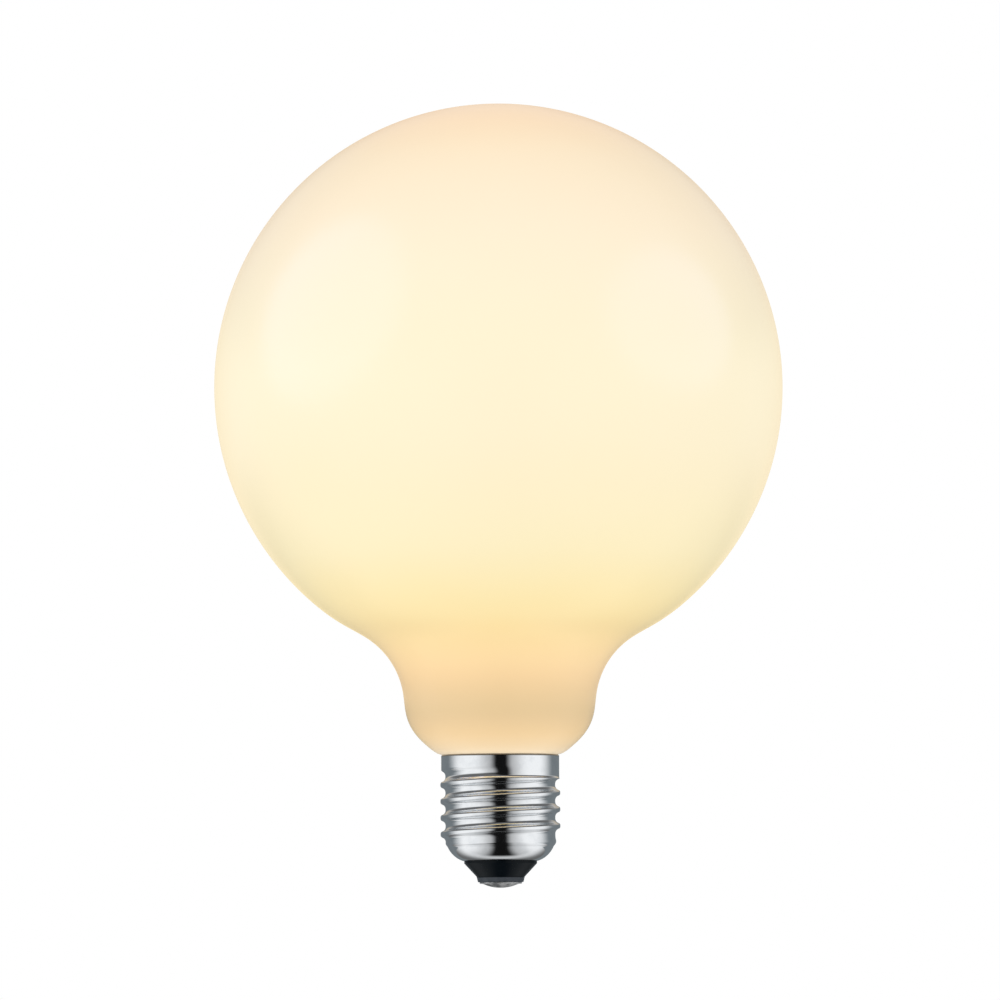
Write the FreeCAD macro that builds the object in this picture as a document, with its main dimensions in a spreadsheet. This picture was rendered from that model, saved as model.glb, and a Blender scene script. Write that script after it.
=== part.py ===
import FreeCAD, Part
import math
import os
import Sketcher

# Globe bulb: a blown opal glass vessel on a standard 27 mm screw cap.
# The lamp stands on its cap: +Z runs up its axis, and the origin is the tip of the centre contact.
# Lengths are in millimetres and angles in degrees. Heights are stacked up from the contact's tip.

Vector = FreeCAD.Vector

doc = FreeCAD.newDocument("globe_bulb")
sheet = doc.addObject("Spreadsheet::Sheet", "sizes")

driving_dimensions = [
    # domed centre contact
    ("contact_diameter", 9.3),
    ("dome_height", 1.25),
    ("shank_diameter", 3.0),
    ("shank_length", 4.5),
    ("shank_gap", 0.05),
    # moulded black insulator
    ("boss_end_diameter", 10.0),
    ("boss_diameter", 10.6),
    ("boss_height", 1.2),
    ("cone_height", 2.9),
    ("lip_gap", 0.55),
    ("insulator_gap", 0.05),
    ("flange_rise", 2.7),
    # drawn and rolled cap shell
    ("sheet_thickness", 0.3),
    ("lip_inset", 3.85),
    ("bottom_round", 5.5),
    ("bottom_rise", 3.0),
    ("run_out_length", 2.6),
    ("thread_crest_diameter", 26.3),
    ("thread_depth", 1.1),
    ("thread_pitch", 3.629),
    ("thread_turns", 4.5),
    ("thread_start_rise", 2.2),
    ("root_flat", 1.4),
    ("crest_flat", 0.7),
    ("knee_rise", 0.18),
    ("knee_reach", 0.33),
    ("groove_clearance", 0.15),
    ("vanish_turns", 0.35),
    ("vanish_angle", 40.0),
    ("hollow_turns", 3.0),
    ("hollow_flat", 0.12),
    ("collar_inset", 0.2),
    ("collar_lap", 0.45),
    ("collar_step", 0.2),
    ("collar_length", 5.2),
    ("neck_in_depth", 2.6),
    ("neck_in_length", 1.6),
    # blown opal glass
    ("rim_overhang", 0.2),
    ("spigot_depth", 2.2),
    ("cement_gap", 0.15),
    ("cone_round", 17.2),
    ("shoulder_turn", 33.0),
    ("shoulder_round", 8.2),
    ("neck_straight", 0.55),
    ("neck_diameter", 41.9),
    ("throat_round", 17.8),
    ("flank_turn", 14.0),
    ("flank_round", 42.0),
    ("globe_diameter", 125.0),
]
for row, (alias, number) in enumerate(driving_dimensions, start=1):
    sheet.set(f"A{row}", alias)
    sheet.set(f"B{row}", str(number))
    sheet.setAlias(f"B{row}", alias)
doc.recompute()

# Heights and radii that several pieces share, as expressions on the sheet
boss_top = "(sizes.dome_height + sizes.boss_height)"
cone_top = f"({boss_top} + sizes.cone_height)"
lip_height = f"({cone_top} + sizes.lip_gap)"
crest_radius = "(sizes.thread_crest_diameter / 2)"
collar_radius = f"({crest_radius} - sizes.collar_inset)"
root_radius = f"({crest_radius} - sizes.thread_depth)"
lip_radius = f"({root_radius} - sizes.lip_inset)"
round_centre_radius = f"({root_radius} - sizes.bottom_round)"
lip_reach = f"({lip_radius} - {round_centre_radius})"
round_centre_height = f"({lip_height} + sqrt(sizes.bottom_round^2 - {lip_reach}^2))"
first_root_height = f"({lip_height} + sizes.thread_start_rise)"
last_root_height = f"({first_root_height} + sizes.thread_turns * sizes.thread_pitch)"
collar_bottom = f"({last_root_height} - sizes.collar_lap)"
cap_height = f"({collar_bottom} + sizes.collar_length)"


def value(expression):
    return float(sheet.evalExpression(expression))


def new_body(name):
    body = doc.addObject("PartDesign::Body", name)
    body.Label = name
    return body


def axial_sketch(body, name):
    """A sketch on the body's own XZ plane: its x is the radius and its y the height."""
    sketch = body.newObject("Sketcher::SketchObject", name)
    plane = next(f for f in body.Origin.OriginFeatures if f.Role == "XZ_Plane")
    sketch.AttachmentSupport = [(plane, "")]
    sketch.MapMode = "FlatFace"
    return sketch


def dimension(sketch, name, expression, *constraint):
    """Adds a dimension under a name of its own and ties it to the sheet."""
    index = sketch.addConstraint(Sketcher.Constraint(*constraint, value(expression)))
    sketch.renameConstraint(index, name)
    sketch.setExpression(f"Constraints.{name}", expression)


def arc_between(start, end, radius):
    """The shorter arc of a radius from start to end, bulging to the right of that way for radius > 0."""
    chord = end - start
    middle = (start + end) / 2
    side = Vector(-chord.y, chord.x, 0).normalize()
    reach = math.sqrt(radius**2 - (chord.Length / 2) ** 2)
    centre = middle + side * math.copysign(reach, radius)
    crown = centre + (middle - centre).normalize() * abs(radius)
    return Part.Arc(start, crown, end)


def closed_outline(sketch, corners):
    """Draws a closed outline through corners of (name, radius, height, round of the edge that follows).

    Radius and height are expressions, and each corner is dimensioned from the origin by them.
    The round is an expression too, or None for a straight edge; it is negative for a hollow edge.
    """
    points = [Vector(value(radius), value(height), 0) for _, radius, height, _ in corners]
    ends = []
    for index, (name, radius, height, edge_round) in enumerate(corners):
        start = points[index]
        end = points[(index + 1) % len(points)]
        if edge_round is None:
            edge = sketch.addGeometry(Part.LineSegment(start, end))
            ends.append((edge, 1, 2))
        else:
            edge = sketch.addGeometry(arc_between(start, end, value(edge_round)))
            to_first, to_last = [(sketch.getPoint(edge, place) - start).Length for place in (1, 2)]
            ends.append((edge, 1, 2) if to_first < to_last else (edge, 2, 1))
            dimension(sketch, f"{name}_round", f"abs({edge_round})", "Radius", edge)
    for index, (edge, _, last) in enumerate(ends):
        following, first, _ = ends[(index + 1) % len(ends)]
        sketch.addConstraint(Sketcher.Constraint("Coincident", edge, last, following, first))
    for (name, radius, height, _), (edge, first, _) in zip(corners, ends):
        if radius == "0":
            sketch.addConstraint(Sketcher.Constraint("PointOnObject", edge, first, -2))
        else:
            dimension(sketch, f"{name}_radius", radius, "DistanceX", -1, 1, edge, first)
        if height == "0":
            sketch.addConstraint(Sketcher.Constraint("PointOnObject", edge, first, -1))
        else:
            dimension(sketch, f"{name}_height", height, "DistanceY", -1, 1, edge, first)


def turn_sketch(sketch, angle):
    """Turns the sketch about the lamp's axis, anticlockwise seen from above."""
    sketch.AttachmentOffset = FreeCAD.Placement(Vector(), FreeCAD.Rotation(Vector(0, 1, 0), value(angle)))
    sketch.setExpression("AttachmentOffset.Rotation.Angle", angle)


def revolve(body, sketch):
    """The sketch turned once about the lamp's axis."""
    feature = body.newObject("PartDesign::Revolution", f"{body.Name}_turned")
    feature.Profile = sketch
    feature.ReferenceAxis = (sketch, ["V_Axis"])
    feature.Angle = 360
    doc.recompute()


def cut_along_helix(body, sketch, name, turns, cone_angle="0"):
    """Cuts the sketch out of the body along a right-hand helix of the thread's pitch."""
    before = body.Shape.Volume
    feature = body.newObject("PartDesign::SubtractiveHelix", name)
    feature.Profile = sketch
    feature.ReferenceAxis = (sketch, ["V_Axis"])
    feature.Mode = "pitch-turns-angle"
    feature.setExpression("Pitch", "sizes.thread_pitch")
    feature.setExpression("Turns", turns)
    feature.setExpression("Angle", cone_angle)
    feature.LeftHanded = False
    doc.recompute()
    if body.Shape.Volume >= before:
        raise RuntimeError(f"{name} cuts nothing")


def build_centre_contact():
    """A plate domed downwards, with a shank that passes up through the insulator."""
    body = new_body("centre_contact")
    plate_radius = "(sizes.contact_diameter / 2)"
    dome_round = f"(({plate_radius}^2 + sizes.dome_height^2) / (2 * sizes.dome_height))"
    shank_radius = "(sizes.shank_diameter / 2)"
    shank_top = "(sizes.dome_height + sizes.shank_length)"
    sketch = axial_sketch(body, "contact_outline")
    closed_outline(
        sketch,
        [
            ("tip", "0", "0", dome_round),
            ("plate_edge", plate_radius, "sizes.dome_height", None),
            ("shank_foot", shank_radius, "sizes.dome_height", None),
            ("shank_edge", shank_radius, shank_top, None),
            ("shank_top", "0", shank_top, None),
        ],
    )
    revolve(body, sketch)
    return body


def build_insulator():
    """A moulded cone: a boss for the contact below, and a flange that lies in the shell's round bottom."""
    body = new_body("insulator")
    bore_radius = "(sizes.shank_diameter / 2 + sizes.shank_gap)"
    seat_round = "(sizes.bottom_round - sizes.sheet_thickness - sizes.insulator_gap)"
    throat_radius = f"({lip_radius} - sizes.insulator_gap - sizes.sheet_thickness / 2)"
    throat_reach = f"({throat_radius} - {round_centre_radius})"
    throat_top = f"({round_centre_height} - sqrt({seat_round}^2 - {throat_reach}^2))"
    flange_top = f"({lip_height} + sizes.flange_rise)"
    flange_drop = f"({round_centre_height} - {flange_top})"
    flange_radius = f"({round_centre_radius} + sqrt({seat_round}^2 - {flange_drop}^2))"
    sketch = axial_sketch(body, "insulator_outline")
    closed_outline(
        sketch,
        [
            ("bore_mouth", bore_radius, "sizes.dome_height", None),
            ("boss_end", "(sizes.boss_end_diameter / 2)", "sizes.dome_height", None),
            ("boss_top", "(sizes.boss_diameter / 2)", boss_top, None),
            ("cone_top", throat_radius, cone_top, None),
            ("throat_top", throat_radius, throat_top, seat_round),
            ("flange_edge", flange_radius, flange_top, None),
            ("bore_end", bore_radius, flange_top, None),
        ],
    )
    revolve(body, sketch)
    return body


def build_screw_shell():
    """A sheet shell: plain collar, rolled thread that fades out at both ends, and a round open bottom."""
    body = new_body("screw_shell")
    inner_root_radius = f"({root_radius} - sizes.sheet_thickness)"
    inner_collar_radius = f"({collar_radius} - sizes.sheet_thickness)"
    inner_round = "(sizes.bottom_round - sizes.sheet_thickness)"
    # the sheet's edge at the lip stands square to the rounding
    lip_share = f"({lip_reach} / sizes.bottom_round)"
    inner_lip_radius = f"({round_centre_radius} + {inner_round} * {lip_share})"
    inner_lip_height = f"({round_centre_height} - {inner_round} * sqrt(1 - {lip_share}^2))"
    round_top = f"({lip_height} + sizes.bottom_rise)"
    round_top_drop = f"({round_centre_height} - {round_top})"
    round_top_radius = f"({round_centre_radius} + sqrt(sizes.bottom_round^2 - {round_top_drop}^2))"
    neck_in_top = f"({cap_height} - sizes.neck_in_depth)"
    outline = axial_sketch(body, "shell_outline")
    closed_outline(
        outline,
        [
            ("lip", lip_radius, lip_height, "sizes.bottom_round"),
            ("round_top", round_top_radius, round_top, None),
            ("crest_start", crest_radius, f"({round_top} + sizes.run_out_length)", None),
            ("crest_end", crest_radius, collar_bottom, None),
            ("collar_start", collar_radius, f"({collar_bottom} + sizes.collar_step)", None),
            ("collar_rim", collar_radius, cap_height, None),
            ("inner_rim", inner_collar_radius, cap_height, None),
            ("neck_in_top", inner_collar_radius, neck_in_top, None),
            ("neck_in_foot", inner_root_radius, f"({neck_in_top} - sizes.neck_in_length)", None),
            ("inner_round_top", inner_root_radius, round_centre_height, f"(-{inner_round})"),
            ("inner_lip", inner_lip_radius, inner_lip_height, None),
        ],
    )
    revolve(body, outline)

    # Section of the groove between two crests: a flat root and flanks in two slopes
    half_root = "(sizes.root_flat / 2)"
    half_knee = f"({half_root} + sizes.knee_reach)"
    half_mouth = "((sizes.thread_pitch - sizes.crest_flat) / 2)"
    knee_radius = f"({root_radius} + sizes.knee_rise)"
    flank_slope = f"(({half_mouth} - {half_knee}) / ({crest_radius} - {knee_radius}))"
    half_clear = f"({half_mouth} + sizes.groove_clearance * {flank_slope})"
    clear_radius = f"({crest_radius} + sizes.groove_clearance)"

    def groove_section(sketch, height):
        closed_outline(
            sketch,
            [
                ("root_low", root_radius, f"({height} - {half_root})", None),
                ("knee_low", knee_radius, f"({height} - {half_knee})", None),
                ("mouth_low", clear_radius, f"({height} - {half_clear})", None),
                ("mouth_high", clear_radius, f"({height} + {half_clear})", None),
                ("knee_high", knee_radius, f"({height} + {half_knee})", None),
                ("root_high", root_radius, f"({height} + {half_root})", None),
            ],
        )

    # Where the groove ends, it climbs out through the collar on a cone
    vanish = axial_sketch(body, "vanish_section")
    turn_sketch(vanish, "sizes.thread_turns * 360")
    groove_section(vanish, last_root_height)
    cut_along_helix(body, vanish, "thread_vanish", "sizes.vanish_turns", "sizes.vanish_angle")
    groove = axial_sketch(body, "groove_section")
    groove_section(groove, first_root_height)
    cut_along_helix(body, groove, "thread_groove", "sizes.thread_turns")

    # The rolled crest is hollow behind; half a turn on from the groove's start it is one pitch up
    hollow = axial_sketch(body, "hollow_section")
    turn_sketch(hollow, "180")
    crest_height = f"({first_root_height} + sizes.thread_pitch)"
    hollow_radius = f"({crest_radius} - sizes.sheet_thickness)"
    half_flat = "(sizes.hollow_flat / 2)"
    foot_radius = f"({inner_root_radius} - sizes.groove_clearance)"
    half_foot = f"(sizes.thread_pitch / 2 - {half_knee})"
    closed_outline(
        hollow,
        [
            ("foot_low", foot_radius, f"({crest_height} - {half_foot})", None),
            ("crest_low", hollow_radius, f"({crest_height} - {half_flat})", None),
            ("crest_high", hollow_radius, f"({crest_height} + {half_flat})", None),
            ("foot_high", foot_radius, f"({crest_height} + {half_foot})", None),
        ],
    )
    cut_along_helix(body, hollow, "crest_hollow", "sizes.hollow_turns")
    return body


def build_opal_globe():
    """One blown vessel: globe, flank, throat, neck, shoulder and cone, with a spigot in the collar."""
    body = new_body("opal_globe")
    globe = value("sizes.globe_diameter") / 2
    flank = value("sizes.flank_round")
    flank_turn = math.radians(value("sizes.flank_turn"))
    throat = value("sizes.throat_round")
    neck = value("sizes.neck_diameter") / 2
    shoulder = value("sizes.shoulder_round")
    shoulder_turn = math.radians(value("sizes.shoulder_turn"))
    cone = value("sizes.cone_round")
    rim_radius = f"({collar_radius} + sizes.rim_overhang)"
    rim = value(rim_radius)
    seat = value(cap_height)
    spigot_radius = f"({collar_radius} - sizes.sheet_thickness - sizes.cement_gap)"
    spigot = value(spigot_radius)
    spigot_end = seat - value("sizes.spigot_depth")

    # From the rim upwards, each arc's centre follows from the arc before it
    cone_slope = math.acos((rim - neck + shoulder + (cone - shoulder) * math.cos(shoulder_turn)) / cone)
    cone_centre = Vector(rim - cone * math.cos(cone_slope), seat + cone * math.sin(cone_slope), 0)
    shoulder_way = Vector(math.cos(shoulder_turn), -math.sin(shoulder_turn), 0)
    shoulder_centre = cone_centre + shoulder_way * (cone - shoulder)
    neck_top = shoulder_centre.y + value("sizes.neck_straight")
    throat_centre = Vector(neck + throat, neck_top, 0)
    # The flank turns by a set angle between the globe and the throat, all three tangent
    along = (globe - flank) + (flank + throat) * math.cos(flank_turn)
    across = (flank + throat) * math.sin(flank_turn)
    globe_end = math.atan2(across, along) + math.asin((neck + throat) / math.hypot(along, across))
    throat_way = Vector(math.sin(globe_end - flank_turn), -math.cos(globe_end - flank_turn), 0)
    flank_centre = throat_centre - throat_way * (flank + throat)
    globe_way = Vector(math.sin(globe_end), -math.cos(globe_end), 0)
    globe_centre = flank_centre - globe_way * (globe - flank)

    crown = globe_centre + Vector(0, globe, 0)
    globe_foot = globe_centre + globe_way * globe
    flank_foot = flank_centre + throat_way * flank
    neck_upper = Vector(neck, neck_top, 0)
    neck_lower = Vector(neck, shoulder_centre.y, 0)
    shoulder_foot = shoulder_centre + shoulder_way * shoulder
    rim_corner = Vector(rim, seat, 0)
    spigot_corner = Vector(spigot, seat, 0)
    spigot_edge = Vector(spigot, spigot_end, 0)
    spigot_middle = Vector(0, spigot_end, 0)

    def arc(centre, radius, first, last):
        """An arc drawn anticlockwise from first to last about its centre."""
        start = math.atan2(first.y - centre.y, first.x - centre.x)
        sweep = (math.atan2(last.y - centre.y, last.x - centre.x) - start) % (2 * math.pi)
        return Part.ArcOfCircle(Part.Circle(centre, Vector(0, 0, 1), radius), start, start + sweep)

    sketch = axial_sketch(body, "globe_outline")
    axis_line = sketch.addGeometry(Part.LineSegment(spigot_middle, crown))
    globe_arc = sketch.addGeometry(arc(globe_centre, globe, globe_foot, crown))
    flank_arc = sketch.addGeometry(arc(flank_centre, flank, flank_foot, globe_foot))
    throat_arc = sketch.addGeometry(arc(throat_centre, throat, flank_foot, neck_upper))
    neck_line = sketch.addGeometry(Part.LineSegment(neck_upper, neck_lower))
    shoulder_arc = sketch.addGeometry(arc(shoulder_centre, shoulder, shoulder_foot, neck_lower))
    cone_arc = sketch.addGeometry(arc(cone_centre, cone, rim_corner, shoulder_foot))
    seat_line = sketch.addGeometry(Part.LineSegment(rim_corner, spigot_corner))
    spigot_line = sketch.addGeometry(Part.LineSegment(spigot_corner, spigot_edge))
    bottom_line = sketch.addGeometry(Part.LineSegment(spigot_edge, spigot_middle))
    for constraint in [
        ("PointOnObject", axis_line, 1, -2),
        ("PointOnObject", axis_line, 2, -2),
        ("Coincident", axis_line, 2, globe_arc, 2),
        ("PointOnObject", globe_arc, 3, -2),
        ("Tangent", globe_arc, 1, flank_arc, 2),
        ("Tangent", flank_arc, 1, throat_arc, 1),
        ("Tangent", throat_arc, 2, neck_line, 1),
        ("Vertical", neck_line),
        ("Tangent", neck_line, 2, shoulder_arc, 2),
        ("Tangent", shoulder_arc, 1, cone_arc, 2),
        ("Coincident", cone_arc, 1, seat_line, 1),
        ("Horizontal", seat_line),
        ("Coincident", seat_line, 2, spigot_line, 1),
        ("Vertical", spigot_line),
        ("Coincident", spigot_line, 2, bottom_line, 1),
        ("Horizontal", bottom_line),
        ("Coincident", bottom_line, 2, axis_line, 1),
    ]:
        sketch.addConstraint(Sketcher.Constraint(*constraint))
    dimension(sketch, "globe_radius", "sizes.globe_diameter / 2", "Radius", globe_arc)
    dimension(sketch, "flank_radius", "sizes.flank_round", "Radius", flank_arc)
    dimension(sketch, "throat_radius", "sizes.throat_round", "Radius", throat_arc)
    dimension(sketch, "neck_radius", "sizes.neck_diameter / 2", "DistanceX", -1, 1, neck_line, 1)
    dimension(sketch, "neck_length", "sizes.neck_straight", "DistanceY", neck_line, 2, neck_line, 1)
    dimension(sketch, "shoulder_radius", "sizes.shoulder_round", "Radius", shoulder_arc)
    dimension(sketch, "cone_radius", "sizes.cone_round", "Radius", cone_arc)
    dimension(sketch, "rim_radius", rim_radius, "DistanceX", -1, 1, cone_arc, 1)
    dimension(sketch, "rim_height", cap_height, "DistanceY", -1, 1, cone_arc, 1)
    dimension(sketch, "spigot_radius", spigot_radius, "DistanceX", -1, 1, spigot_line, 1)
    dimension(sketch, "spigot_length", "sizes.spigot_depth", "DistanceY", spigot_line, 2, spigot_line, 1)
    revolve(body, sketch)
    return body


pieces = [
    build_centre_contact(),
    build_insulator(),
    build_screw_shell(),
    build_opal_globe(),
]

doc.recompute()
for item in doc.Objects:
    if "Invalid" in item.State or "Error" in item.State:
        raise RuntimeError(f"{item.Name} failed: {item.State}")
for piece in pieces:
    if piece.Shape.isNull() or not piece.Shape.isValid() or len(piece.Shape.Solids) != 1:
        raise RuntimeError(f"{piece.Label} is not one valid solid")

os.makedirs("parts", exist_ok=True)
for piece in pieces:
    piece.Shape.exportStep(f"parts/{piece.Label}.step")
    box = piece.Shape.BoundBox
    print(f"{piece.Label}: {piece.Shape.Volume / 1000:.3f} cm3, {box.ZMin:.2f} to {box.ZMax:.2f} mm up")
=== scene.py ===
import math

import bmesh
import bpy
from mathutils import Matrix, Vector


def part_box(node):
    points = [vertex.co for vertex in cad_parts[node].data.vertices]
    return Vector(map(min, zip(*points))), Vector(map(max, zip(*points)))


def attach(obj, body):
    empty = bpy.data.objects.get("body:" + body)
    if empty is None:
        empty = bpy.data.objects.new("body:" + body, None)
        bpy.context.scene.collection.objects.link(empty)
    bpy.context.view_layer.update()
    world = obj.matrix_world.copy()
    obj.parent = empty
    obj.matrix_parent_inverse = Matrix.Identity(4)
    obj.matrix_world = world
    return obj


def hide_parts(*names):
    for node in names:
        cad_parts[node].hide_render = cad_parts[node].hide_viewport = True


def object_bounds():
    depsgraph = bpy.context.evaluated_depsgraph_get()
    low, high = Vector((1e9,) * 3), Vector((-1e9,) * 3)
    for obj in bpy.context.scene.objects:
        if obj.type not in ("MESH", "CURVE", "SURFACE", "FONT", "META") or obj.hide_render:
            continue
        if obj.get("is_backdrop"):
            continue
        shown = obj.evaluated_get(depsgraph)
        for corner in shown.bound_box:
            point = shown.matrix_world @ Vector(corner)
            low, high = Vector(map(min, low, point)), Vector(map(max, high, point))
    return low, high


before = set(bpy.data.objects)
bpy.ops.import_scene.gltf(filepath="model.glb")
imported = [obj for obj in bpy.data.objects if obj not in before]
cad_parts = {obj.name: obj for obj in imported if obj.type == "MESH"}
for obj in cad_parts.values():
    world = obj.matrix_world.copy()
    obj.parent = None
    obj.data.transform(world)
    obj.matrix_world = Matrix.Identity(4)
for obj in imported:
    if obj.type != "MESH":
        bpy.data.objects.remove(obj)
cad_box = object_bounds()

# Globe bulb: opal glass vessel, rolled nickel cap shell, black insulator and centre contact.
# Lengths are in metres. The lamp stands along +Z with the tip of its contact at the origin.

mm = 0.001
MERGE = 0.002 * mm
QUARTER_TURN = math.pi / 2
FULL_TURN = 2 * math.pi

# Heights come from the solids
shell_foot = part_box("screw_shell")[0].z
shell_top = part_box("screw_shell")[1].z
insulator_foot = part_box("insulator")[0].z
insulator_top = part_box("insulator")[1].z
crown_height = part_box("opal_globe")[1].z
spigot_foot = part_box("opal_globe")[0].z

# Rolled shell
SHEET = 0.3 * mm
LIP_RADIUS = 8.2 * mm
BOTTOM_ROUND = 5.5 * mm
ROOT_RADIUS = 12.05 * mm
CREST_RADIUS = 13.15 * mm
CREST_ROUND = 0.45 * mm
CREST_FLAT = 0.34 * mm
ROOT_FLAT = 0.30 * mm
COLLAR_RADIUS = 12.95 * mm
COLLAR_LENGTH = 5.0 * mm
BOTTOM_RISE = 3.0 * mm
RUN_OUT = 2.6 * mm
PITCH = 3.629 * mm
FIRST_ROOT_RISE = 2.2 * mm
THREAD_TURNS = 4.5
VANISH_TURNS = 0.4
RIDGE_START = 0.35
RIDGE_GROWTH = 0.6
BLEND = 0.2 * mm

# Blown globe
GLOBE_RADIUS = 62.5 * mm
FLANK_ROUND = 42.0 * mm
FLANK_TURN = math.radians(14)
THROAT_ROUND = 17.8 * mm
NECK_RADIUS = 20.95 * mm
NECK_STRAIGHT = 0.55 * mm
SHOULDER_ROUND = 8.2 * mm
SHOULDER_TURN = math.radians(33)
CONE_ROUND = 17.2 * mm
RIM_RADIUS = 13.15 * mm
RIM_BEAD = 0.5 * mm
SPIGOT_RADIUS = 12.5 * mm
SOFTENED_POINTS = 4

# Painted shadow under the glass, a dark band at the top of the shell, by its depth below the top of the
# shell
GLASS_SHADOW_END = 0.5 * mm
GLASS_SHADOW_FULL = 0.2 * mm

# Insulator
BOSS_END_RADIUS = 5.0 * mm
BOSS_RADIUS = 5.3 * mm
BOSS_HEIGHT = 1.2 * mm
BOSS_ROUND = 0.15 * mm
CONE_HEIGHT = 2.9 * mm
THROAT_RADIUS = 8.0 * mm
THROAT_RISE = 0.8 * mm
MOULDED_EDGE = 0.12 * mm
FLANGE_GAP = 0.02 * mm
BORE_RADIUS = 1.55 * mm
# Painted highlight on the boss, by height above the insulator's foot: where it ends and where it is full
BOSS_HIGHLIGHT_END = 1.05 * mm
BOSS_HIGHLIGHT_FULL = 0.9 * mm

# Centre contact
CONTACT_RADIUS = 4.65 * mm
CONTACT_EDGE = 0.18 * mm
DOME_HEIGHT = 1.25 * mm
SHANK_RADIUS = 1.5 * mm
SHANK_LENGTH = 4.5 * mm

# Lengths of the facets along the outlines, and their number round the axis
GLASS_STEP = 0.8 * mm
INNER_STEP = 0.5 * mm
MOULDED_STEP = 0.4 * mm
COLLAR_STEP = 0.35 * mm
COARSE_STEP = 0.2 * mm
FINE_STEP = 0.1 * mm
SHEET_EDGE_STEP = 0.06 * mm
CONTACT_EDGE_STEP = 0.05 * mm
MOULDED_EDGE_STEP = 0.04 * mm
GLOBE_FACETS = 224
SHELL_FACETS = 192
INSULATOR_FACETS = 192
CONTACT_FACETS = 128


class Value:
    """A number that flows through a node tree: Python's operators on it add Math nodes."""

    def __init__(self, web, socket):
        self.web = web
        self.socket = socket

    def maths(self, operation, *others):
        inputs = dict(enumerate((self, *others)))
        return self.web.value("ShaderNodeMath", inputs, operation=operation)

    def __add__(self, other):
        return self.maths("ADD", other)

    __radd__ = __add__

    def __sub__(self, other):
        return self.maths("SUBTRACT", other)

    def __rsub__(self, other):
        return self.web.value("ShaderNodeMath", {0: other, 1: self}, operation="SUBTRACT")

    def __mul__(self, other):
        return self.maths("MULTIPLY", other)

    __rmul__ = __mul__

    def __truediv__(self, other):
        return self.maths("DIVIDE", other)

    def __mod__(self, other):
        return self.maths("MODULO", other)

    def __abs__(self):
        return self.maths("ABSOLUTE")

    def __round__(self):
        return self.maths("ROUND")

    def below(self, limit):
        return self.maths("LESS_THAN", limit)

    def choose(self, high, low):
        """high where this is 1, and low where it is 0."""
        return low + (high - low) * self

    def rise(self, low, high):
        """0 up to low, 1 from high on, and a smooth step between them."""
        inputs = {"Value": self, "From Min": low, "From Max": high}
        return self.web.value("ShaderNodeMapRange", inputs, interpolation_type="SMOOTHSTEP")


class Web:
    """A node tree under construction."""

    def __init__(self, tree):
        self.tree = tree
        tree.nodes.clear()

    def add(self, kind, inputs=None, **settings):
        """Makes a node, sets it up, then gives its sockets their values or links."""
        node = self.tree.nodes.new(kind)
        for name, setting in settings.items():
            setattr(node, name, setting)
        for key, given in (inputs or {}).items():
            socket = self.find(node.inputs, key)
            if isinstance(given, Value):
                self.tree.links.new(given.socket, socket)
            else:
                socket.default_value = given
        return node

    def find(self, sockets, key):
        if isinstance(key, int):
            return sockets[key]
        return next(socket for socket in sockets if socket.name == key and socket.enabled)

    def out(self, node, key=0):
        return Value(self, self.find(node.outputs, key))

    def value(self, kind, inputs=None, key=0, **settings):
        """Makes a node for the sake of one of its outputs."""
        return self.out(self.add(kind, inputs, **settings), key)

    def split(self, vector):
        """The X, Y and Z of a vector, as numbers."""
        node = self.add("ShaderNodeSeparateXYZ", {0: vector})
        return [self.out(node, axis) for axis in "XYZ"]


class Finish(Web):
    """A material under construction."""

    def __init__(self, name):
        self.material = bpy.data.materials.new(name)
        self.material.use_nodes = True
        super().__init__(self.material.node_tree)

    def place(self):
        """The point's own place on the piece, in metres, as a vector."""
        return self.value("ShaderNodeTexCoord", key="Object")

    def noise(self, place, scale, detail, roughness=0.5):
        inputs = {"Vector": place, "Scale": scale, "Detail": detail, "Roughness": roughness}
        return self.value("ShaderNodeTexNoise", inputs)

    def stretched(self, place, scale):
        """The place scaled by a different number along X, Y and Z."""
        return self.value("ShaderNodeVectorMath", {0: place, 1: scale}, operation="MULTIPLY")

    def ramp(self, share, stops):
        """A colour that runs smoothly through the stops, each a place from 0 to 1 and its colour."""
        node = self.add("ShaderNodeValToRGB", {0: share})
        node.color_ramp.interpolation = "CARDINAL"
        elements = node.color_ramp.elements
        while len(elements) < len(stops):
            elements.new(1.0)
        for element, (place, colour) in zip(elements, stops):
            element.position = place
            element.color = (*colour, 1.0)
        return self.out(node)

    def blend(self, share, low, high):
        """A colour between low and high."""
        inputs = {"Factor": share, "A": low, "B": high}
        return self.value("ShaderNodeMix", inputs, key="Result", data_type="RGBA")

    def bump(self, height, distance):
        return self.value("ShaderNodeBump", {"Height": height, "Distance": distance})

    def surface(self, shader):
        self.add("ShaderNodeOutputMaterial", {"Surface": shader})
        return self.material

    def principled(self, **inputs):
        named = {name.replace("_", " "): given for name, given in inputs.items()}
        return self.surface(self.value("ShaderNodeBsdfPrincipled", named))

    def see_through(self, share, low, high):
        """A surface between two shaders, either of which may be clear."""
        return self.surface(self.value("ShaderNodeMixShader", {0: share, 1: low, 2: high}))

    def clear(self):
        return self.value("ShaderNodeBsdfTransparent")
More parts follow.
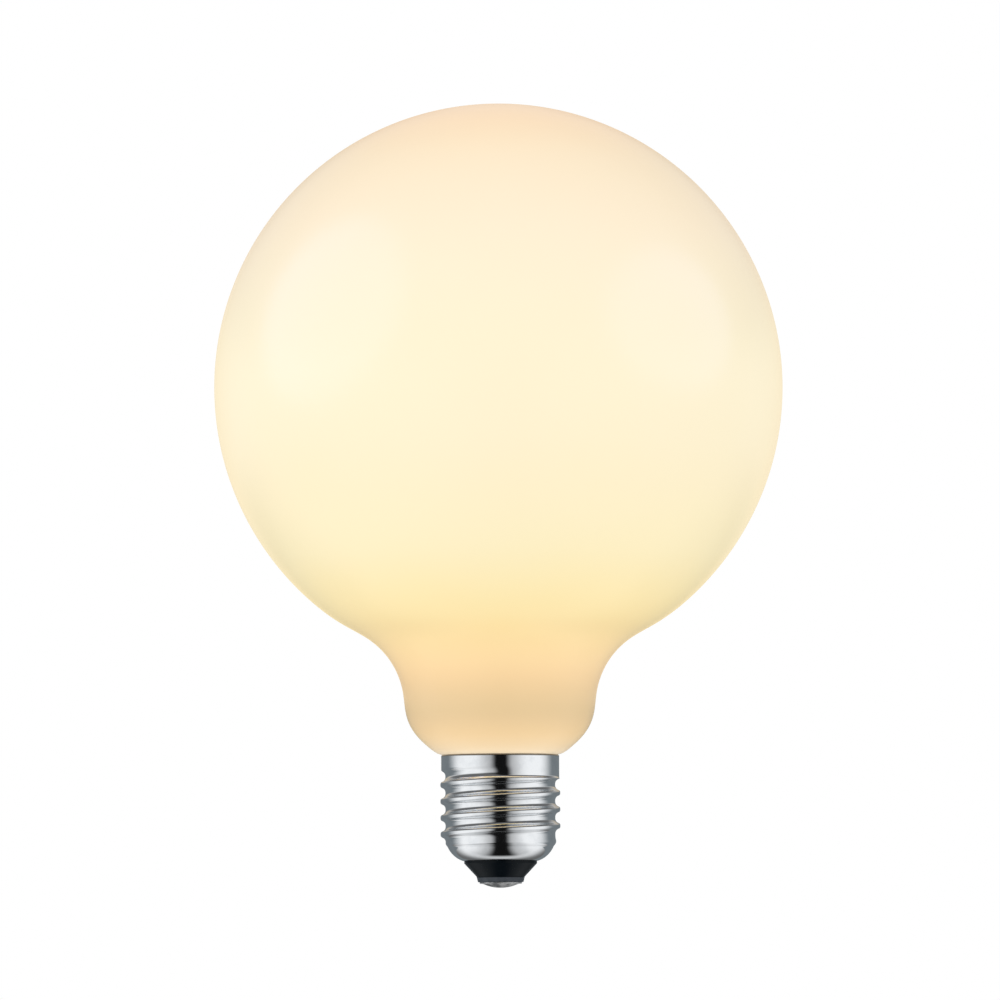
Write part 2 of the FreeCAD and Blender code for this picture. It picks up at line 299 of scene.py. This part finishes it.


# Finishes

# The glass's colour and its glow, by the share of the crown's height. The colour is partly its own cream and
# amber and partly painted shade, in the darker band at the throat
GLASS_TINTS_AND_THROAT_SHADE = [
    (0.165, (0.93, 0.72, 0.45)),
    (0.190, (0.93, 0.66, 0.40)),
    (0.225, (0.83, 0.61, 0.34)),
    (0.280, (0.95, 0.70, 0.37)),
    (0.340, (0.98, 0.77, 0.41)),
    (0.420, (0.98, 0.83, 0.51)),
    (0.560, (0.98, 0.86, 0.60)),
    (0.800, (0.98, 0.87, 0.62)),
    (0.930, (0.98, 0.84, 0.61)),
    (1.000, (0.95, 0.77, 0.53)),
]
GLASS_GLOWS = [
    (0.165, (0.30, 0.28, 0.24)),
    (0.176, (0.15, 0.14, 0.10)),
    (0.190, (0.09, 0.085, 0.025)),
    (0.210, (0.04, 0.04, 0.01)),
    (0.235, (0.05, 0.04, 0.03)),
    (0.280, (0.12, 0.08, 0.05)),
    (0.340, (0.12, 0.11, 0.05)),
    (0.410, (0.10, 0.11, 0.08)),
    (0.500, (0.09, 0.09, 0.07)),
    (0.690, (0.08, 0.08, 0.07)),
    (0.820, (0.08, 0.05, 0.06)),
    (0.920, (0.075, 0.035, 0.02)),
    (0.960, (0.11, 0.045, 0.015)),
    (0.985, (0.14, 0.06, 0.03)),
    (1.000, (0.17, 0.10, 0.07)),
]
MILK = (1.0, 0.93, 0.78, 1.0)
CLEAN_NICKEL = (0.88, 0.89, 0.90, 1.0)
HAZY_NICKEL = (0.80, 0.815, 0.83, 1.0)
RING_SCALE = (60.0, 60.0, 2600.0)
# Colour of the painted shadow at the shell's top edge under the glass
GLASS_SHADOW_COLOUR = (0.20, 0.185, 0.16, 1.0)
MOULDED_BLACK = (0.003, 0.005, 0.007, 1.0)
# Colour of the painted highlight on the boss
BOSS_HIGHLIGHT_BLACK = (0.075, 0.085, 0.1, 1.0)
DULL_TIN = (0.30, 0.31, 0.32, 1.0)
BRIGHT_TIN = (0.80, 0.80, 0.80, 1.0)


def opal_glass():
    """Milky glass, cream above and amber towards the neck, with painted shade darkening the throat, a soft
    gloss and a faint glow.
    """
    finish = Finish("opal_glass")
    place = finish.place()
    height = finish.split(place)[2] / crown_height
    cloud = finish.noise(place, scale=24.0, detail=2.0)
    waves = finish.noise(place, scale=60.0, detail=1.0)
    veil = cloud.rise(0.35, 0.7) * 0.05
    return finish.principled(
        # The base colour carries painted shade in the darker band at the throat
        Base_Color=finish.blend(veil, finish.ramp(height, GLASS_TINTS_AND_THROAT_SHADE), MILK),
        Roughness=0.2 + cloud * 0.06,
        IOR=1.5,
        Specular_IOR_Level=0.2,
        Emission_Color=finish.ramp(height, GLASS_GLOWS),
        Emission_Strength=1.0,
        Normal=finish.bump(waves, 0.02 * mm),
    )


def bright_nickel():
    """Plated sheet, mirror bright, with the faint rings of rolling and painted shadow darkening its top edge
    under the glass.
    """
    finish = Finish("bright_nickel")
    place = finish.place()
    rings = finish.noise(finish.stretched(place, RING_SCALE), scale=1.0, detail=2.0)
    haze = finish.noise(place, scale=420.0, detail=3.0)
    plate = finish.blend(haze.rise(0.4, 0.75), CLEAN_NICKEL, HAZY_NICKEL)
    # Painted shadow: the top of the shell darkens under the glass
    glass_shadow = finish.split(place)[2].rise(shell_top - GLASS_SHADOW_END, shell_top - GLASS_SHADOW_FULL)
    return finish.principled(
        Base_Color=finish.blend(glass_shadow, plate, GLASS_SHADOW_COLOUR),
        Metallic=1.0,
        Roughness=0.06 + haze * 0.07,
        Normal=finish.bump(rings, 0.003 * mm),
    )


def black_moulding():
    """Glossy black moulding with a mottled painted highlight that makes the lower part of the boss paler."""
    finish = Finish("black_moulding")
    place = finish.place()
    grain = finish.noise(place, scale=900.0, detail=3.0)
    # Painted highlight: the lower part of the boss is paler, mottled by the grain
    boss_highlight = finish.split(place)[2].rise(insulator_foot + BOSS_HIGHLIGHT_END, insulator_foot + BOSS_HIGHLIGHT_FULL)
    return finish.principled(
        Base_Color=finish.blend(boss_highlight * (0.4 + grain * 0.6), MOULDED_BLACK, BOSS_HIGHLIGHT_BLACK),
        Roughness=0.14 + grain * 0.12,
        IOR=1.5,
        Specular_IOR_Level=0.1,
        Normal=finish.bump(grain, 0.01 * mm),
    )


def tinned_contact():
    """Dull tinned metal, blotched where the solder has flowed."""
    finish = Finish("tinned_contact")
    blotch = finish.noise(finish.place(), scale=520.0, detail=4.0, roughness=0.6)
    return finish.principled(
        Base_Color=finish.blend(blotch.rise(0.38, 0.62), DULL_TIN, BRIGHT_TIN),
        Metallic=0.9,
        Roughness=0.28 + blotch * 0.25,
        Normal=finish.bump(blotch, 0.05 * mm),
    )


# Outlines: lists of (radius, height), drawn upwards on the outside of a piece


def arc(centre, radius, start, end, step):
    """Points along an arc from one angle to another, both ends included."""
    count = max(3, math.ceil(abs(end - start) * radius / step))
    angles = [start + (end - start) * index / count for index in range(count + 1)]
    return [(centre[0] + radius * math.cos(a), centre[1] + radius * math.sin(a)) for a in angles]


def straight(start, end, step):
    """Points along a straight run, without its two ends."""
    length = math.dist(start, end)
    count = max(1, math.ceil(length / step))
    shares = [index / count for index in range(1, count)]
    return [tuple(a + (b - a) * share for a, b in zip(start, end)) for share in shares]


def rounded(corners, step):
    """Turns corners of (radius, height, round) into an outline with those edges rounded."""
    outline = []
    for index, (*corner, edge_round) in enumerate(corners):
        if edge_round == 0:
            outline.append(tuple(corner))
            continue
        ways = []
        for neighbour in (corners[index - 1][:2], corners[(index + 1) % len(corners)][:2]):
            run = math.dist(neighbour, corner)
            ways.append([(there - here) / run for there, here in zip(neighbour, corner)])
        half_angle = math.acos(sum(a * b for a, b in zip(*ways))) / 2
        reach = edge_round / math.tan(half_angle)
        depth = edge_round / math.sin(half_angle)
        middle = [a + b for a, b in zip(*ways)]
        centre = [here + way / math.hypot(*middle) * depth for here, way in zip(corner, middle)]
        first, last = [[here + way * reach for here, way in zip(corner, side)] for side in ways]
        start = math.atan2(first[1] - centre[1], first[0] - centre[0])
        turn = math.atan2(last[1] - centre[1], last[0] - centre[0]) - start
        turn = (turn + math.pi) % FULL_TURN - math.pi
        outline += arc(centre, edge_round, start, start + turn, step)
    return outline


def subdivided(outline, step):
    """A closed outline with its long runs divided."""
    divided = []
    for start, end in zip(outline, outline[1:] + outline[:1]):
        divided += [start, *straight(start, end, step)]
    return divided


def softened(outline, count):
    """Averages each point with up to count neighbours on each side, so that bends run together."""
    soft = []
    for index in range(len(outline)):
        spread = min(count, index, len(outline) - 1 - index)
        near = outline[index - spread:index + spread + 1]
        soft.append(tuple(sum(values) / len(near) for values in zip(*near)))
    return soft


def lathe(name, outline, facets, closed=False):
    """Turns an outline about the axis. An open one starts and ends on the axis, with closed poles."""
    grid = bmesh.new()
    angles = [FULL_TURN * index / facets for index in range(facets)]
    rings = []
    for radius, height in outline:
        if radius < MERGE:
            rings.append([grid.verts.new((0.0, 0.0, height))] * facets)
        else:
            places = [(radius * math.cos(angle), radius * math.sin(angle), height) for angle in angles]
            rings.append([grid.verts.new(place) for place in places])
    higher = rings[1:] + rings[:1] if closed else rings[1:]
    for low, high in zip(rings, higher):
        for index in range(facets):
            following = (index + 1) % facets
            corners = [low[index], low[following], high[following], high[index]]
            grid.faces.new(list(dict.fromkeys(corners)))
    mesh = bpy.data.meshes.new(name)
    grid.to_mesh(mesh)
    grid.free()
    mesh.shade_smooth()
    return put(name, mesh)


def put(name, thing):
    """Puts a mesh, a lamp or a camera into the scene, at the origin."""
    placed = bpy.data.objects.new(name, thing)
    bpy.context.scene.collection.objects.link(placed)
    return placed


def dress(piece, node, material):
    """Gives a piece its finish and lets it stand for a solid."""
    piece.data.materials.clear()
    piece.data.materials.append(material)
    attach(piece, "root")
    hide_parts(node)


# Pieces


def make_globe():
    """One blown vessel: each arc's centre follows from the arc below it."""
    shoulder_reach = CONE_ROUND - SHOULDER_ROUND
    cone_reach = RIM_RADIUS - NECK_RADIUS + SHOULDER_ROUND + shoulder_reach * math.cos(SHOULDER_TURN)
    cone_slope = math.acos(cone_reach / CONE_ROUND)
    cone_centre = (
        RIM_RADIUS - CONE_ROUND * math.cos(cone_slope),
        shell_top + CONE_ROUND * math.sin(cone_slope),
    )
    shoulder_centre = (
        cone_centre[0] + shoulder_reach * math.cos(SHOULDER_TURN),
        cone_centre[1] - shoulder_reach * math.sin(SHOULDER_TURN),
    )
    throat_centre = (NECK_RADIUS + THROAT_ROUND, shoulder_centre[1] + NECK_STRAIGHT)
    throat_reach = FLANK_ROUND + THROAT_ROUND
    along = (GLOBE_RADIUS - FLANK_ROUND) + throat_reach * math.cos(FLANK_TURN)
    across = throat_reach * math.sin(FLANK_TURN)
    globe_end = math.atan2(across, along) + math.asin(throat_centre[0] / math.hypot(along, across))
    flank_end = globe_end - FLANK_TURN
    flank_centre = (
        throat_centre[0] - math.sin(flank_end) * throat_reach,
        throat_centre[1] + math.cos(flank_end) * throat_reach,
    )
    globe_centre = (0.0, flank_centre[1] + math.cos(globe_end) * (GLOBE_RADIUS - FLANK_ROUND))

    bead = (RIM_RADIUS - RIM_BEAD, shell_top + RIM_BEAD)
    foot = [(0.0, spigot_foot), (SPIGOT_RADIUS, spigot_foot), (SPIGOT_RADIUS, shell_top)]
    foot += arc(bead, RIM_BEAD, -QUARTER_TURN, -cone_slope, FINE_STEP)
    arcs = [
        (cone_centre, CONE_ROUND, -cone_slope, -SHOULDER_TURN),
        (shoulder_centre, SHOULDER_ROUND, -SHOULDER_TURN, 0.0),
        (throat_centre, THROAT_ROUND, math.pi, QUARTER_TURN + flank_end),
        (flank_centre, FLANK_ROUND, flank_end - QUARTER_TURN, globe_end - QUARTER_TURN),
        (globe_centre, GLOBE_RADIUS, globe_end - QUARTER_TURN, QUARTER_TURN),
    ]
    vessel = []
    for bend in arcs:
        points = arc(*bend, GLASS_STEP)
        # A short straight neck joins the shoulder to the throat. The other arcs share their ends
        vessel += points if bend[0] == throat_centre else points[1:]
    globe = lathe("globe", foot + softened(vessel, SOFTENED_POINTS), GLOBE_FACETS)
    dress(globe, "opal_globe", opal_glass())


def shell_section():
    """The plain sheet's closed section, in the XZ plane, with how deep each point lies in the sheet."""
    bottom_middle = ROOT_RADIUS - BOTTOM_ROUND
    lip_angle = -math.acos((LIP_RADIUS - bottom_middle) / BOTTOM_ROUND)
    centre = (bottom_middle, shell_foot - BOTTOM_ROUND * math.sin(lip_angle))
    top_angle = -math.asin((centre[1] - shell_foot - BOTTOM_RISE) / BOTTOM_ROUND)
    outer_bottom = arc(centre, BOTTOM_ROUND, lip_angle, top_angle, COARSE_STEP)
    inner_bottom = arc(centre, BOTTOM_ROUND - SHEET, top_angle, lip_angle, INNER_STEP)
    lip_reach = BOTTOM_ROUND - SHEET / 2
    lip_centre = (
        centre[0] + lip_reach * math.cos(lip_angle),
        centre[1] + lip_reach * math.sin(lip_angle),
    )
    lip = arc(lip_centre, SHEET / 2, lip_angle - math.pi, lip_angle, SHEET_EDGE_STEP)[1:-1]
    rim_centre = (COLLAR_RADIUS - SHEET, shell_top - SHEET)
    rim = arc(rim_centre, SHEET, 0.0, QUARTER_TURN, SHEET_EDGE_STEP)

    # The plain sheet stands outside the crests, and the rolling presses it in to the thread
    envelope = CREST_RADIUS + BLEND
    collar_foot = shell_top - COLLAR_LENGTH
    run_end = (envelope, shell_foot + BOTTOM_RISE + RUN_OUT + BLEND)
    crest_end = (envelope, collar_foot - 2 * BLEND)
    collar_start = (COLLAR_RADIUS, collar_foot)

    def joined(corners, step):
        """The corners and the points between them."""
        outline = [corners[0]]
        for start, end in zip(corners, corners[1:]):
            outline += [*straight(start, end, step), end]
        return outline

    outside = joined([outer_bottom[-1], run_end, crest_end, collar_start], FINE_STEP)
    outside += straight(collar_start, rim[0], COLLAR_STEP)
    inner = [(radius - SHEET, height) for radius, height in (collar_start, crest_end, run_end)]
    inside = joined([rim[-1], *inner, inner_bottom[0]], COARSE_STEP)[1:-1]
    stretches = [
        (outer_bottom[:-1] + outside, 0.0, 0.0),
        (rim, 0.0, SHEET),
        (inside + inner_bottom, SHEET, SHEET),
        (lip, SHEET, 0.0),
    ]

    points = []
    insets = []
    for stretch, first, last in stretches:
        for index, (radius, height) in enumerate(stretch):
            points.append((radius, 0.0, height))
            insets.append(first + (last - first) * index / (len(stretch) - 1))
    mesh = bpy.data.meshes.new("shell_section")
    mesh.from_pydata(points, [(i, (i + 1) % len(points)) for i in range(len(points))], [])
    mesh.attributes.new("inset", "FLOAT", "POINT").data.foreach_set("value", insets)
    return mesh


def rolling_tree():
    """Geometry nodes that turn a sheet's section about the axis and roll a knuckle thread into it."""
    tree = bpy.data.node_groups.new("rolled_shell", "GeometryNodeTree")
    sizes = ["Pitch", "First Root", "Root Radius", "Root Flat", "Crest Radius", "Crest Round"]
    sizes += ["Crest Flat", "Turns", "Vanish Turns", "Ridge Start", "Ridge Growth"]
    sizes += ["Thread Start", "Blend"]
    wanted = [("Section", "Geometry"), ("Section Points", "Int"), ("Facets Around", "Int")]
    wanted += [(name, "Float") for name in sizes] + [("Finish", "Material")]
    for name, kind in wanted:
        tree.interface.new_socket(name, in_out="INPUT", socket_type="NodeSocket" + kind)
    tree.interface.new_socket("Shell", in_out="OUTPUT", socket_type="NodeSocketGeometry")
    web = Web(tree)
    given = web.add("NodeGroupInput")

    def take(name):
        return web.out(given, name)

    section, points = take("Section"), take("Section Points")
    pitch = take("Pitch")

    # A sheet of points: X runs once round the axis, and Y once along the section
    sides = {"Size X": 1.0, "Size Y": 1.0}
    counts = {"Vertices X": take("Facets Around") + 1, "Vertices Y": points + 1}
    sheet = web.value("GeometryNodeMeshGrid", {**sides, **counts})
    here = web.value("GeometryNodeInputPosition")
    across_sheet, up_sheet, _ = web.split(here)
    turn = across_sheet + 0.5
    row = round((up_sheet + 0.5) * points) % points

    def along_section(kind, value):
        inputs = {"Geometry": section, "Value": value, "Index": row}
        return web.value("GeometryNodeSampleIndex", inputs, data_type=kind)

    radius, _, height = web.split(along_section("FLOAT_VECTOR", here))
    named = web.value("GeometryNodeInputNamedAttribute", {"Name": "inset"}, data_type="FLOAT")
    inset = along_section("FLOAT", named)

    # Half a wave: a flat root, a hollow arc, a crest arc and a flat crest.
    # The arcs keep their centres in the sheet, so its wall stays even
    depth = take("Crest Radius") - take("Root Radius")
    flat = take("Root Flat") / 2
    top = take("Crest Flat") / 2
    half = pitch / 2 - flat - top
    reach = (half * half + depth * depth) / (2 * depth)
    steepest = (depth / half).maths("ARCTANGENT") * 2
    crest_round = take("Crest Round") - inset
    hollow_round = reach - crest_round
    length = flat + reach * steepest + top

    # Rows of points share the wave's own length evenly, so its steep flanks get as many as its flats
    wound = (height - take("First Root")) / pitch - turn
    nearest = round(wound)
    signed = wound - nearest
    along = abs(signed) * 2 * length
    to_crest = length - along
    on_crest = to_crest.below(crest_round * steepest + top)
    bend = ((along - flat) / hollow_round).maths("MAXIMUM", 0.0)
    crest_bend = ((to_crest - top) / crest_round).maths("MAXIMUM", 0.0)
    hollow_reach = along.maths("MINIMUM", flat) + hollow_round * bend.maths("SINE")
    hollow_rise = hollow_round * (1 - bend.maths("COSINE"))
    crest_reach = pitch / 2 - to_crest.maths("MINIMUM", top) - crest_round * crest_bend.maths("SINE")
    crest_rise = depth - crest_round * (1 - crest_bend.maths("COSINE"))

    # The ridge grows out of the run-out, and the whole wave dies away under the collar
    ridge_turn = wound.maths("FLOOR") + 0.5 + turn
    grown = ridge_turn.rise(take("Ridge Start"), take("Ridge Start") + take("Ridge Growth"))
    rise = on_crest.choose(crest_rise, hollow_rise) * grown
    moved = on_crest.choose(crest_reach, hollow_reach) - abs(signed) * pitch
    turns = take("Turns")
    vanished = (nearest + turn).rise(turns, turns + take("Vanish Turns"))
    rolled = take("Crest Radius") - (depth - rise) * (1 - vanished) - inset
    in_thread = height.rise(take("Thread Start"), take("Thread Start") + pitch / 4) * (1 - vanished)
    height = height + moved * signed.maths("SIGN") * in_thread
    radius = radius.maths("SMOOTH_MIN", rolled, take("Blend"))

    angle = turn * FULL_TURN
    spot = {"X": radius * angle.maths("COSINE"), "Y": radius * angle.maths("SINE"), "Z": height}
    spot = web.value("ShaderNodeCombineXYZ", spot)
    tube = web.value("GeometryNodeSetPosition", {"Geometry": sheet, "Position": spot})
    closed = web.value("GeometryNodeMergeByDistance", {"Geometry": tube, "Distance": MERGE})
    smooth = web.value("GeometryNodeSetShadeSmooth", {"Geometry": closed})
    whole = web.value("GeometryNodeRealizeInstances", {"Geometry": smooth})
    plated = web.value("GeometryNodeSetMaterial", {"Geometry": whole, "Material": take("Finish")})
    web.add("NodeGroupOutput", {"Shell": plated})
    return tree


def grow(name, start, tree, inputs):
    """Runs a geometry tree on a mesh and keeps the result as a plain mesh."""
    piece = put(name, start)
    modifier = piece.modifiers.new(tree.name, "NODES")
    modifier.node_group = tree
    for item in tree.interface.items_tree:
        if item.name in inputs:
            modifier[item.identifier] = inputs[item.name]
    depsgraph = bpy.context.evaluated_depsgraph_get()
    mesh = bpy.data.meshes.new_from_object(piece.evaluated_get(depsgraph), depsgraph=depsgraph)
    piece.modifiers.remove(modifier)
    piece.data = mesh
    mesh.name = name
    return piece


def make_shell():
    """The cap shell: plain collar, rolled thread and round bottom, all in one thin sheet."""
    section = shell_section()
    nickel = bright_nickel()
    inputs = {
        "Section Points": len(section.vertices),
        "Facets Around": SHELL_FACETS,
        "Pitch": PITCH,
        "First Root": shell_foot + FIRST_ROOT_RISE,
        "Root Radius": ROOT_RADIUS,
        "Root Flat": ROOT_FLAT,
        "Crest Radius": CREST_RADIUS,
        "Crest Round": CREST_ROUND,
        "Crest Flat": CREST_FLAT,
        "Turns": THREAD_TURNS,
        "Vanish Turns": VANISH_TURNS,
        "Ridge Start": RIDGE_START,
        "Ridge Growth": RIDGE_GROWTH,
        "Thread Start": shell_foot + BOTTOM_RISE,
        "Blend": BLEND,
        "Finish": nickel,
    }
    shell = grow("cap_shell", section, rolling_tree(), inputs)
    dress(shell, "screw_shell", nickel)


def make_insulator():
    """A moulded cone with a boss below and a flange inside the shell."""
    lip_height = insulator_foot + BOSS_HEIGHT + CONE_HEIGHT
    flange_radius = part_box("insulator")[1].x - FLANGE_GAP
    corners = [
        (BORE_RADIUS, insulator_foot, 0.0),
        (BOSS_END_RADIUS, insulator_foot, MOULDED_EDGE),
        (BOSS_RADIUS, insulator_foot + BOSS_HEIGHT, BOSS_ROUND),
        (THROAT_RADIUS, lip_height, MOULDED_EDGE),
        (THROAT_RADIUS, lip_height + THROAT_RISE, 0.0),
        (flange_radius, insulator_top, 0.0),
        (BORE_RADIUS, insulator_top, 0.0),
    ]
    outline = subdivided(rounded(corners, MOULDED_EDGE_STEP), MOULDED_STEP)
    piece = lathe("moulded_insulator", outline, INSULATOR_FACETS, closed=True)
    dress(piece, "insulator", black_moulding())


def make_contact():
    """A plate domed downwards, with a soft edge and a shank."""
    dome_round = (CONTACT_RADIUS**2 + DOME_HEIGHT**2) / (2 * DOME_HEIGHT)
    dome_end = math.asin((CONTACT_RADIUS - CONTACT_EDGE) / dome_round) - QUARTER_TURN
    outline = arc((0.0, dome_round), dome_round, -QUARTER_TURN, dome_end, FINE_STEP)
    edge = (outline[-1][0], DOME_HEIGHT - CONTACT_EDGE)
    outline += arc(edge, CONTACT_EDGE, dome_end, QUARTER_TURN, CONTACT_EDGE_STEP)
    shank_top = DOME_HEIGHT + SHANK_LENGTH
    outline += [(SHANK_RADIUS, DOME_HEIGHT), (SHANK_RADIUS, shank_top), (0.0, shank_top)]
    piece = lathe("domed_contact", outline, CONTACT_FACETS)
    dress(piece, "centre_contact", tinned_contact())


# Studio

FLOOR_DROP = 0.15
FLOOR_HALF = 5.0
FLOOR_COLOUR = (0.80, 0.80, 0.80, 1.0)
FLOOR_GLOW = 0.15
FLOOR_GLOW_SEEN = 0.30
ROOM_LIGHT = 0.925
ROOM_LIGHT_SEEN = 0.075
ROOM_WHITE = (1.0, 1.0, 1.0, 1.0)

# The mirrored room is a sphere, and places on it are shares of its radius. Each pair is where a
# change starts and ends: aside from the dark gap at the front, towards the back, or away from the
# horizon, upwards or downwards
DOME_RADIUS = 3.6
DOME_COLOUR = (0.97, 0.985, 1.0, 1.0)
DARKEST = 0.007
FRONT_SHIFT = 0.02
FRONT_EDGE = (0.14, 0.40)
FRONT_FADE = (0.30, 0.85)
FRONT_DEPTH = (0.10, 0.55)
GAP_TOP = (0.30, 0.55)
BACK_START = (0.50, 0.95)
BACK_FOOT = (-0.55, -0.20)
BACK_TOP = (0.15, 0.50)
BACK_COLOUR = (0.86, 0.71, 0.50, 1.0)
TOP_START = (0.08, 0.30)
TOP_LOSS = 0.85
BACK_GAIN = 0.40
BOTTOM_START = (0.05, 0.30)
BOTTOM_REACH = (0.20, 0.80)
BOTTOM_LOSS = 0.85

# The card's start is an angle from the front, and its soft end lies just under its top edge
CARD_RADIUS = 0.12
CARD_FOOT = -0.05
CARD_TOP = 0.048
CARD_END = (0.034, 0.047)
CARD_START = (math.radians(78), math.radians(120))
CARD_FACETS = 48
CARD_COLOUR = (0.18, 0.205, 0.22, 1.0)

# Lamps aim at the middle of the globe
LAMP_DISTANCE = 2.2
GLOBE_MIDDLE = 0.11
SKY = (0.3, 0.45, 1.0)
WHITE = (1.0, 1.0, 1.0)

# The camera sees VIEW_SPAN from side to side at the lamp
VIEW_SPAN = 0.21976
VIEW_MIDDLE = 85.2 * mm
VIEW_SHIFT = -0.38 * mm
CAMERA_DISTANCE = 3.0
CAMERA_HEIGHT = -45.0 * mm
CAMERA_ROLL = math.radians(0.27)
FILM_WIDTH = 36.0


def stage_mesh(name, points, faces):
    mesh = bpy.data.meshes.new(name)
    mesh.from_pydata(points, [], faces)
    thing = put(name, mesh)
    thing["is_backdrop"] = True
    return thing


def show_in_gloss_only(thing):
    thing.visible_camera = thing.visible_shadow = False
    thing.visible_diffuse = thing.visible_transmission = False


def seen_directly(web):
    """1 for rays from the camera and for rays that metal or glass sends on, and 0 for soft light."""
    path = web.add("ShaderNodeLightPath")
    direct = web.out(path, "Is Camera Ray").maths("MAXIMUM", web.out(path, "Is Glossy Ray"))
    return direct.maths("MAXIMUM", web.out(path, "Is Transmission Ray"))


def make_floor():
    """A pale floor well below the lamp; it keeps the shadow and is open from below."""
    sides = ((-1, -1), (1, -1), (1, 1), (-1, 1))
    corners = [(x * FLOOR_HALF, y * FLOOR_HALF, -FLOOR_DROP) for x, y in sides]
    floor = stage_mesh("floor", corners, [(0, 1, 2, 3)])
    floor.visible_glossy = False
    finish = Finish("pale_floor")
    matt = finish.value("ShaderNodeBsdfDiffuse", {"Color": FLOOR_COLOUR})
    strength = FLOOR_GLOW + seen_directly(finish) * FLOOR_GLOW_SEEN
    glow = finish.value("ShaderNodeEmission", {"Strength": strength})
    lit = finish.value("ShaderNodeAddShader", {0: matt, 1: glow})
    under = finish.value("ShaderNodeNewGeometry", key="Backfacing")
    floor.data.materials.append(finish.see_through(under, lit, finish.clear()))


def make_dome():
    """What gloss mirrors: a white room, dark in front, overhead and low behind, and warm far back."""
    sphere = bmesh.new()
    bmesh.ops.create_uvsphere(sphere, u_segments=64, v_segments=32, radius=DOME_RADIUS)
    mesh = bpy.data.meshes.new("dome")
    sphere.to_mesh(mesh)
    sphere.free()
    dome = put("dome", mesh)
    dome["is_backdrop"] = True
    show_in_gloss_only(dome)
    finish = Finish("dome")
    across, along, height = (value / DOME_RADIUS for value in finish.split(finish.place()))
    aside = abs(across - FRONT_SHIFT)
    gap = 1 - (aside.rise(*FRONT_EDGE) + aside.rise(*FRONT_FADE)) / 2
    front = gap * (1 - along.rise(*FRONT_DEPTH)) * (1 - height.rise(*GAP_TOP))
    above = height.rise(*TOP_START) * (TOP_LOSS - along.rise(*BACK_START) * BACK_GAIN)
    below = (height * -1.0).rise(*BOTTOM_START) * along.rise(*BOTTOM_REACH) * BOTTOM_LOSS
    share = ((1 - front) * (1 - above) * (1 - below)).maths("MAXIMUM", DARKEST)
    back = along.rise(*BACK_START) * height.rise(*BACK_FOOT) * (1 - height.rise(*BACK_TOP))
    colour = finish.blend(back, DOME_COLOUR, BACK_COLOUR)
    glow = finish.value("ShaderNodeEmission", {"Color": colour, "Strength": share})
    dome.data.materials.append(finish.surface(glow))


def make_card():
    """A slate card bent close round the sides and back of the cap, which darkens its mirrored edges."""
    start = CARD_START[0]
    turns = [start + (FULL_TURN - 2 * start) * index / CARD_FACETS for index in range(CARD_FACETS + 1)]
    bent = [(CARD_RADIUS * math.sin(turn), -CARD_RADIUS * math.cos(turn)) for turn in turns]
    points = [(x, y, height) for height in (CARD_FOOT, CARD_TOP) for x, y in bent]
    upper = len(bent)
    faces = [(i, i + 1, upper + i + 1, upper + i) for i in range(CARD_FACETS)]
    card = stage_mesh("back_card", points, faces)
    show_in_gloss_only(card)
    finish = Finish("back_card")
    across, along, height = finish.split(finish.place())
    away = abs(across.maths("ARCTAN2", along * -1.0))
    share = away.rise(*CARD_START) * (1 - height.rise(*CARD_END))
    slate = finish.value("ShaderNodeEmission", {"Color": CARD_COLOUR})
    card.data.materials.append(finish.see_through(share, finish.clear(), slate))


def make_world():
    """White all round: full strength where it is seen or mirrored, and a little less as soft light."""
    world = bpy.data.worlds.new("white_room")
    world.use_nodes = True
    web = Web(world.node_tree)
    strength = ROOM_LIGHT + seen_directly(web) * ROOM_LIGHT_SEEN
    light = web.value("ShaderNodeBackground", {"Color": ROOM_WHITE, "Strength": strength})
    web.add("ShaderNodeOutputWorld", {"Surface": light})
    bpy.context.scene.world = world


def add_lamp(name, away, up, size, power, colour):
    """A round soft lamp aimed at the globe, by its angles from the camera's side and the horizon."""
    lamp = bpy.data.lights.new(name, "AREA")
    lamp.shape = "ELLIPSE"
    lamp.size, lamp.size_y = size
    lamp.energy = power
    lamp.color = colour
    spot = put(name, lamp)
    away, up = math.radians(away), math.radians(up)
    reach, rise = LAMP_DISTANCE * math.cos(up), LAMP_DISTANCE * math.sin(up)
    spot.location = (reach * math.sin(away), -reach * math.cos(away), GLOBE_MIDDLE + rise)
    spot.rotation_euler = (QUARTER_TURN - up, 0.0, away)
    spot.visible_camera = False
    return spot


def make_lamps():
    """Two windows that only draw themselves in the glass's gloss, and a soft lamp at the front."""
    glass = bpy.data.collections.new("glass")
    glass.objects.link(bpy.data.objects["globe"])
    left = add_lamp("left_window", away=-80, up=25, size=(2.9, 2.5), power=46.0, colour=SKY)
    right = add_lamp("right_window", away=80, up=21, size=(2.6, 1.8), power=27.0, colour=SKY)
    for window in (left, right):
        window.visible_diffuse = False
        window.light_linking.receiver_collection = glass
    front = add_lamp("front_softbox", away=-27, up=32, size=(1.6, 1.6), power=3.0, colour=WHITE)
    front.visible_glossy = False


def make_camera():
    """A view along +Y from far away and slightly below, framed as the photograph is."""
    rise = VIEW_MIDDLE - CAMERA_HEIGHT
    lens = bpy.data.cameras.new("camera")
    lens.sensor_width = FILM_WIDTH
    lens.lens = FILM_WIDTH * math.hypot(CAMERA_DISTANCE, rise) / VIEW_SPAN
    camera = put("camera", lens)
    camera.location = (VIEW_SHIFT, -CAMERA_DISTANCE, CAMERA_HEIGHT)
    camera.rotation_euler = (QUARTER_TURN + math.atan2(rise, CAMERA_DISTANCE), CAMERA_ROLL, 0.0)
    bpy.context.scene.camera = camera


make_globe()
make_shell()
make_insulator()
make_contact()
make_floor()
make_dome()
make_card()
make_world()
make_lamps()
make_camera()
bpy.context.scene.view_settings.view_transform = "Standard"

boxes = {"cad": [list(corner) for corner in cad_box], "visual": [list(corner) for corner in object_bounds()]}
